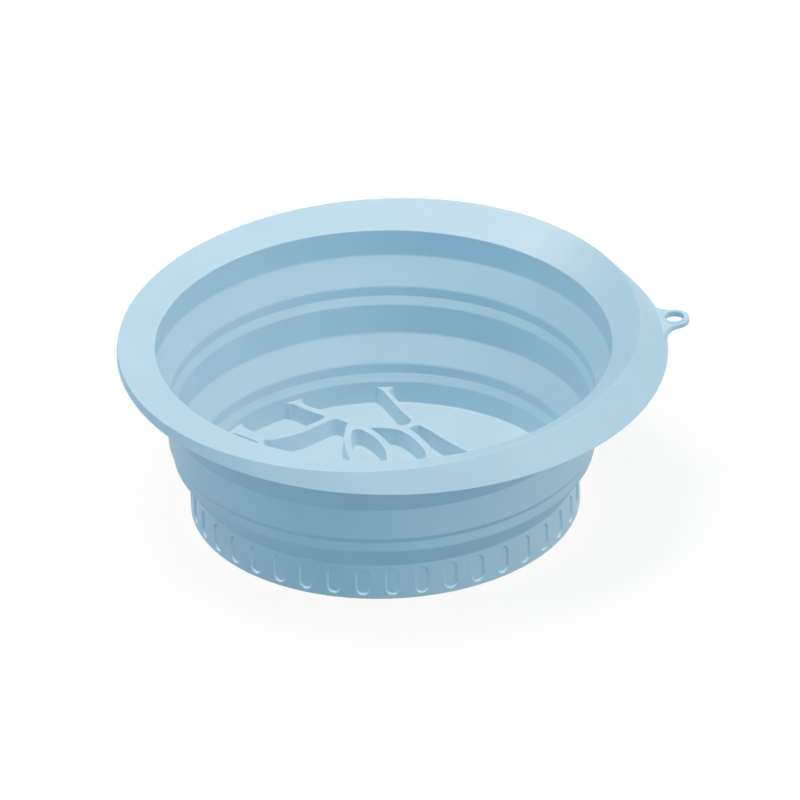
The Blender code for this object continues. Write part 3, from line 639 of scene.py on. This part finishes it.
def add_recesses(bm):
    """The base's outer wall, from its foot to its top, with a recess in each share of it."""
    half_pitch = math.pi * BASE_OUTER / CAPSULE_COUNT
    loops = [[(x, z, 0.0) for x, z in share_loop(half_pitch, FOOT_CHAMFER, BASE_TOP)]]
    for outset, depth in CAPSULE_SLOPE:
        loops.append([(x, z, depth) for x, z in capsule_loop(outset)])
    for number in range(CAPSULE_COUNT):
        middle = CAPSULE_PHASE + math.tau * number / CAPSULE_COUNT
        rows = []
        for loop in loops:
            row = []
            for across, height, depth in loop:
                azimuth, radius = middle + across / BASE_OUTER, BASE_OUTER - depth
                x, y = radius * math.cos(azimuth), radius * math.sin(azimuth)
                row.append(bm.verts.new((x, y, height)))
            rows.append(row)
        for outer, inner in zip(rows, rows[1:]):
            join_loops(bm, outer, inner)
        bm.faces.new(rows[-1])


def build_base(material):
    bm = bmesh.new()
    add_recesses(bm)
    profile = eased_profile([
        (BASE_OUTER, BASE_TOP, 0.0),
        (BASE_ROOT, BASE_TOP, 0.0),
        (BASE_ROOT, BASE_LEDGE_TOP, LEDGE_TOP_ROUNDING),
        (BASE_BORE, BASE_LEDGE_FOOT, LEDGE_FOOT_ROUNDING),
        (BASE_BORE, FLOOR_TOP, FLOOR_ROUNDING),
        (0.0, FLOOR_TOP, 0.0),
        (0.0, 0.0, 0.0),
        (BASE_OUTER - FOOT_CHAMFER, 0.0, 0.0),
        (BASE_OUTER, FOOT_CHAMFER, 0.0),
    ])
    rows = []
    for step in range(TURN_STEPS):
        turn = Matrix.Rotation(CAPSULE_PHASE + math.tau * step / TURN_STEPS, 3, "Z")
        rows.append([bm.verts.new(turn @ point) for point in profile])
    for step in range(TURN_STEPS):
        near, far = rows[step], rows[(step + 1) % TURN_STEPS]
        for place in range(len(profile) - 1):
            bm.faces.new((near[place], near[place + 1], far[place + 1], far[place]))
    bmesh.ops.remove_doubles(bm, verts=bm.verts, dist=MERGE_DISTANCE)
    bmesh.ops.dissolve_degenerate(bm, dist=MERGE_DISTANCE, edges=bm.edges)
    base = add_mesh("base_shell", bm, material)
    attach(base, "base")
    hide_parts("base_wall", "floor_panel")


# Ribs


def smooth_route(points):
    """Points along a Catmull-Rom curve through the route's own points."""
    ends = [points[0] * 2 - points[1]] + points + [points[-1] * 2 - points[-2]]
    fine = [points[0]]
    for before, start, end, after in zip(ends, ends[1:], ends[2:], ends[3:]):
        for step in range(1, ROUTE_STEPS + 1):
            t = step / ROUTE_STEPS
            fine.append((
                start * 2
                + (end - before) * t
                + (before * 2 - start * 5 + end * 4 - after) * t ** 2
                + (start * 3 - before - end * 3 + after) * t ** 3
            ) / 2)
    return fine


def along_line(marks, lengths, points):
    """The places at these marks along a line, given its points and the length up to each."""
    return np.column_stack([
        np.interp(marks, lengths, [point[axis] for point in points]) for axis in (0, 1)
    ])


def route_points(shares, trims):
    """Even points along the rib's centre line, less a length trimmed off each end."""
    route = smooth_route([Vector(point) * BASE_BORE for point in shares])
    lengths = np.cumsum([0.0] + [(end - start).length for start, end in zip(route, route[1:])])
    count = max(3, round(lengths[-1] / ROUTE_SPACING))
    return along_line(np.linspace(trims[0], lengths[-1] - trims[1], count), lengths, route)


def evenly_spaced(loop):
    closed = np.vstack([loop, loop[:1]])
    lengths = np.concatenate([[0.0], np.cumsum(np.hypot(*np.diff(closed, axis=0).T))])
    count = max(8, round(lengths[-1] / RIB_POINT_SPACING))
    return along_line(np.linspace(0.0, lengths[-1], count, endpoint=False), lengths, closed)


def filled(one, other, reach):
    """The nearer of two distances, with the corner between them rounded out over this reach."""
    overlap = np.maximum(reach - np.abs(one - other), 0.0)
    return np.minimum(one, other) - overlap ** 2 / (4 * reach)


def half_turned(field):
    return field[::-1, ::-1]


class RibField:
    """Distances outside the ribs' top outline, on a square grid over the floor."""

    def __init__(self):
        axis = np.arange(-FIELD_HALF_COUNT, FIELD_HALF_COUNT + 1) * FIELD_STEP
        self.axis = axis
        self.x, self.y = np.meshgrid(axis, axis, indexing="ij")
        self.radius = np.hypot(self.x, self.y)
        self.values = self.joined_ribs()
        self.slopes = np.gradient(self.values, FIELD_STEP)

    def rib(self, shares, half_width, trims=(0.0, 0.0)):
        """The distance from a rib's top outline, and whether the place is on its left."""
        distance = np.full(self.x.shape, FIELD_REACH)
        on_left = np.zeros(self.x.shape, bool)
        points = route_points(shares, trims)
        for start, end in zip(points, points[1:]):
            spans = []
            for axis in (0, 1):
                low, high = sorted((start[axis], end[axis]))
                reach = (low - FIELD_REACH, high + FIELD_REACH)
                spans.append(slice(*np.searchsorted(self.axis, reach)))
            part = tuple(spans)
            x, y = self.x[part] - start[0], self.y[part] - start[1]
            across, along = end - start
            share = (x * across + y * along) / (across ** 2 + along ** 2)
            share = np.clip(share, 0.0, 1.0)
            found = np.hypot(x - across * share, y - along * share)
            nearer = found < distance[part]
            distance[part] = np.where(nearer, found, distance[part])
            on_left[part] = np.where(nearer, across * y - along * x > 0.0, on_left[part])
        return distance - half_width, on_left

    def joined_ribs(self):
        """The distance outside all ribs, with their corners filled in."""
        side, main = RIB_SIDE_HALF_WIDTH, RIB_HALF_WIDTH
        centre_line = RIB_CENTRE_HALF + [(0.0, 0.0)]
        centre_line += [(-x, -y) for x, y in RIB_CENTRE_HALF[::-1]]
        right = self.rib(RIB_RIGHT, side)
        back = {
            "centre": self.rib(centre_line, main),
            "right": right,
            "left": (half_turned(right[0]), half_turned(right[1])),
            "arc": self.rib(RIB_ARC, main, (0.0, main)),
            "bridge": self.rib(RIB_BRIDGE, RIB_BRIDGE_HALF_WIDTH, (main, main)),
            "link": self.rib(RIB_LINK, main, (main, side)),
            "leaf": self.rib(RIB_LEAF, main, (main, main)),
        }
        field = np.min([distance for distance, _ in back.values()], axis=0)
        for rib, other, left_fill, right_fill in RIB_CORNERS:
            distance, on_left = back[rib]
            reach = np.where(on_left, left_fill, right_fill)
            field = np.minimum(field, filled(distance, back[other][0], reach))
        wall = BASE_BORE + RIB_WALL_OVERLAP - self.radius
        for rib in ("centre", "right", "left", "arc"):
            distance = back[rib][0]
            joined = filled(distance, wall, RIB_WALL_FILLET)
            near_rib = distance < FIELD_REACH - 2 * main
            field = np.minimum(field, np.where(near_rib, joined, distance))
        field = np.minimum(field, half_turned(field))
        return np.maximum(field, self.radius - RIB_TRIM_RADIUS)

    def at(self, values, points):
        places = points / FIELD_STEP + FIELD_HALF_COUNT
        low = np.clip(places.astype(int), 0, 2 * FIELD_HALF_COUNT - 1)
        (i, j), (u, v) = low.T, (places - low).T
        near = values[i, j] * (1 - v) + values[i, j + 1] * v
        far = values[i + 1, j] * (1 - v) + values[i + 1, j + 1] * v
        return near * (1 - u) + far * u

    def moved(self, points, offset):
        """The points taken along the field's slope to this distance from the outline."""
        for _ in range(MOVE_PASSES):
            slope = np.column_stack([self.at(values, points) for values in self.slopes])
            steepness = np.maximum((slope ** 2).sum(axis=1), LEAST_STEEPNESS)
            step = (offset - self.at(self.values, points)) / steepness
            points = points + slope * np.clip(step, -MOVE_LIMIT, MOVE_LIMIT)[:, None]
        return points

    def outlines(self):
        """Closed loops where the field is zero, each with the ribs on its left."""
        inside = self.values < 0.0
        mixed = inside[:-1, :-1] ^ inside[1:, :-1] | inside[1:, :-1] ^ inside[1:, 1:]
        mixed |= inside[1:, 1:] ^ inside[:-1, 1:]
        following = {}
        for i, j in np.argwhere(mixed):
            corners = [(i, j), (i + 1, j), (i + 1, j + 1), (i, j + 1)]
            crossings = []
            for place, corner in enumerate(corners):
                after = corners[(place + 1) % 4]
                if inside[corner] != inside[after]:
                    crossings.append((inside[corner], tuple(sorted((corner, after)))))
            for place, (leaving, edge) in enumerate(crossings):
                if leaving:
                    following[edge] = crossings[(place + 1) % len(crossings)][1]
        loops = []
        while following:
            edge = next(iter(following))
            loop = []
            while edge in following:
                low, high = edge
                share = self.values[low] / (self.values[low] - self.values[high])
                loop.append([
                    self.axis[a] + (self.axis[b] - self.axis[a]) * share for a, b in zip(low, high)
                ])
                edge = following.pop(edge)
            loops.append(np.array(loop))
        return loops


def rib_levels():
    """(distance outside the top outline, height) from a rib's flat top to below the floor."""
    levels = []
    for step in range(ROUND_STEPS + 1):
        angle = math.pi / 2 * step / ROUND_STEPS
        offset = RIB_EDGE_ROUNDING * (math.sin(angle) - 1)
        levels.append((offset, RIB_TOP - RIB_EDGE_ROUNDING * (1 - math.cos(angle))))
    foot = FLOOR_TOP + RIB_FOOT_FILLET
    high = levels[-1][1]
    for step in range(1, RIB_SIDE_STEPS + 1):
        height = high + (foot - high) * step / RIB_SIDE_STEPS
        levels.append((RIB_DRAFT * step / RIB_SIDE_STEPS, height))
    for step in range(1, ROUND_STEPS + 1):
        angle = math.pi / 2 * step / ROUND_STEPS
        offset = RIB_DRAFT + RIB_FOOT_FILLET * (1 - math.cos(angle))
        levels.append((offset, foot - RIB_FOOT_FILLET * math.sin(angle)))
    levels.append((levels[-1][0], FLOOR_TOP / 2))
    return levels


def build_ribs(material):
    field = RibField()
    loops = [evenly_spaced(loop) for loop in field.outlines()]
    ends = np.cumsum([len(loop) for loop in loops])
    parts = [slice(end - len(loop), end) for loop, end in zip(loops, ends)]
    outline = field.moved(np.vstack(loops), 0.0)
    # The points inside the base's wall stay where they are on the way down.
    freedom = np.clip((BASE_BORE - np.hypot(*outline.T)) / WALL_HOLD, 0.0, 1.0)[:, None]

    bm = bmesh.new()
    places = outline
    rows = []
    for offset, height in rib_levels():
        places = field.moved(places, offset)
        kept = outline + (places - outline) * freedom
        rows.append([bm.verts.new((x, y, height)) for x, y in kept])
    for upper, lower in zip(rows, rows[1:]):
        for part in parts:
            join_loops(bm, upper[part], lower[part])
    triangles = tessellate_polygon([[vert.co for vert in rows[0][part]] for part in parts])
    for level in (rows[0], rows[-1]):
        for corners in triangles:
            bm.faces.new([level[corner] for corner in corners])
    ribs = add_mesh("ribs", bm, material)
    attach(ribs, "base")
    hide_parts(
        "rib_centre", "rib_right", "rib_left", "rib_arc_back", "rib_arc_front",
        "rib_bridge_back", "rib_bridge_front", "rib_leaf_back", "rib_leaf_front",
    )


# Stage


def add_camera():
    sin_roll, cos_roll = math.sin(CAMERA_ROLL), math.cos(CAMERA_ROLL)
    across = Vector((1.0, 0.0, 0.0))
    climb = Vector((0.0, math.sin(CAMERA_ELEVATION), math.cos(CAMERA_ELEVATION)))
    right = across * cos_roll - climb * sin_roll
    up = across * sin_roll + climb * cos_roll
    back = right.cross(up)
    centre = PHOTO_PIXELS / 2
    place = (
        right * (centre - ORIGIN_PIXEL[0]) * METRES_PER_PIXEL
        + up * (ORIGIN_PIXEL[1] - centre) * METRES_PER_PIXEL
        + back * CAMERA_DISTANCE
    )
    data = bpy.data.cameras.new("camera")
    data.type = "ORTHO"
    data.ortho_scale = PHOTO_PIXELS * METRES_PER_PIXEL
    camera = bpy.data.objects.new("camera", data)
    camera.matrix_world = Matrix((right, up, back)).transposed().to_4x4()
    camera.location = place
    bpy.context.scene.collection.objects.link(camera)
    bpy.context.scene.camera = camera


def add_sun(name, azimuth, elevation, strength, spread, shadow, colour, gloss_only=False):
    data = bpy.data.lights.new(name, "SUN")
    data.energy = strength
    data.color = colour
    data.angle = math.radians(spread)
    data.use_shadow = shadow
    lamp = bpy.data.objects.new(name, data)
    lamp.visible_diffuse = not gloss_only
    a, e = math.radians(azimuth), math.radians(elevation)
    aim = Vector((math.cos(e) * math.cos(a), math.cos(e) * math.sin(a), math.sin(e)))
    lamp.rotation_euler = aim.to_track_quat("Z", "Y").to_euler()
    lamp.location = aim
    bpy.context.scene.collection.objects.link(lamp)


def mix_by_ray(nodes, links, others, shown, output):
    """Shows one shader to camera, glossy and transmission rays, and another to all other rays."""
    path = nodes.new("ShaderNodeLightPath")
    factor = path.outputs["Is Camera Ray"]
    for kind in ("Is Glossy Ray", "Is Transmission Ray"):
        either = nodes.new("ShaderNodeMath")
        either.operation = "MAXIMUM"
        links.new(factor, either.inputs[0])
        links.new(path.outputs[kind], either.inputs[1])
        factor = either.outputs["Value"]
    mix = nodes.new("ShaderNodeMixShader")
    links.new(factor, mix.inputs["Fac"])
    links.new(others, mix.inputs[1])
    links.new(shown, mix.inputs[2])
    links.new(mix.outputs["Shader"], nodes[output].inputs["Surface"])


def light_world():
    world = bpy.data.worlds.new("studio")
    world.use_nodes = True
    nodes, links = world.node_tree.nodes, world.node_tree.links
    ambient = nodes["Background"]
    ambient.inputs["Color"].default_value = (*AMBIENT_COLOUR, 1.0)
    ambient.inputs["Strength"].default_value = AMBIENT_STRENGTH
    backdrop = nodes.new("ShaderNodeBackground")
    backdrop.inputs["Color"].default_value = (1.0, 1.0, 1.0, 1.0)
    mix_by_ray(
        nodes, links, ambient.outputs["Background"], backdrop.outputs["Background"], "World Output"
    )
    bpy.context.scene.world = world


def add_floor():
    bm = bmesh.new()
    bmesh.ops.create_grid(bm, x_segments=1, y_segments=1, size=FLOOR_HALF_SIZE)
    material = bpy.data.materials.new("floor")
    material.use_nodes = True
    nodes, links = material.node_tree.nodes, material.node_tree.links
    nodes.remove(nodes["Principled BSDF"])
    seen = nodes.new("ShaderNodeBsdfDiffuse")
    seen.inputs["Color"].default_value = (*FLOOR_COLOUR, 1.0)
    glow = nodes.new("ShaderNodeEmission")
    glow.inputs["Color"].default_value = (*FLOOR_GLOW, 1.0)
    both = nodes.new("ShaderNodeAddShader")
    links.new(seen.outputs["BSDF"], both.inputs[0])
    links.new(glow.outputs["Emission"], both.inputs[1])
    bounce = nodes.new("ShaderNodeBsdfDiffuse")
    bounce.inputs["Color"].default_value = (*FLOOR_BOUNCE, 1.0)
    mix_by_ray(nodes, links, bounce.outputs["BSDF"], both.outputs["Shader"], "Material Output")
    floor = add_mesh("floor", bm, material)
    floor.location.z = -FLOOR_GAP


def main():
    rim_plastic = moulded("rim_plastic", PLASTIC, roughness=0.46, grain=0.00002, wave=0.00004)
    base_plastic = moulded("base_plastic", PLASTIC, roughness=0.46, grain=0.00002, wave=0.00003)
    soft_wall = moulded("soft_wall", PLASTIC, roughness=0.56, grain=0.00001, wave=0.00006)
    build_rim(rim_plastic)
    build_tab(rim_plastic)
    build_walls(base_plastic, soft_wall)
    build_base(base_plastic)
    build_ribs(base_plastic)

    add_camera()
    add_floor()
    light_world()
    for sun in SUNS:
        add_sun(*sun, SUN_COLOUR)
    for glint in GLINTS:
        add_sun(*glint, GLINT_COLOUR, gloss_only=True)
    bpy.context.scene.view_settings.view_transform = "Standard"


main()
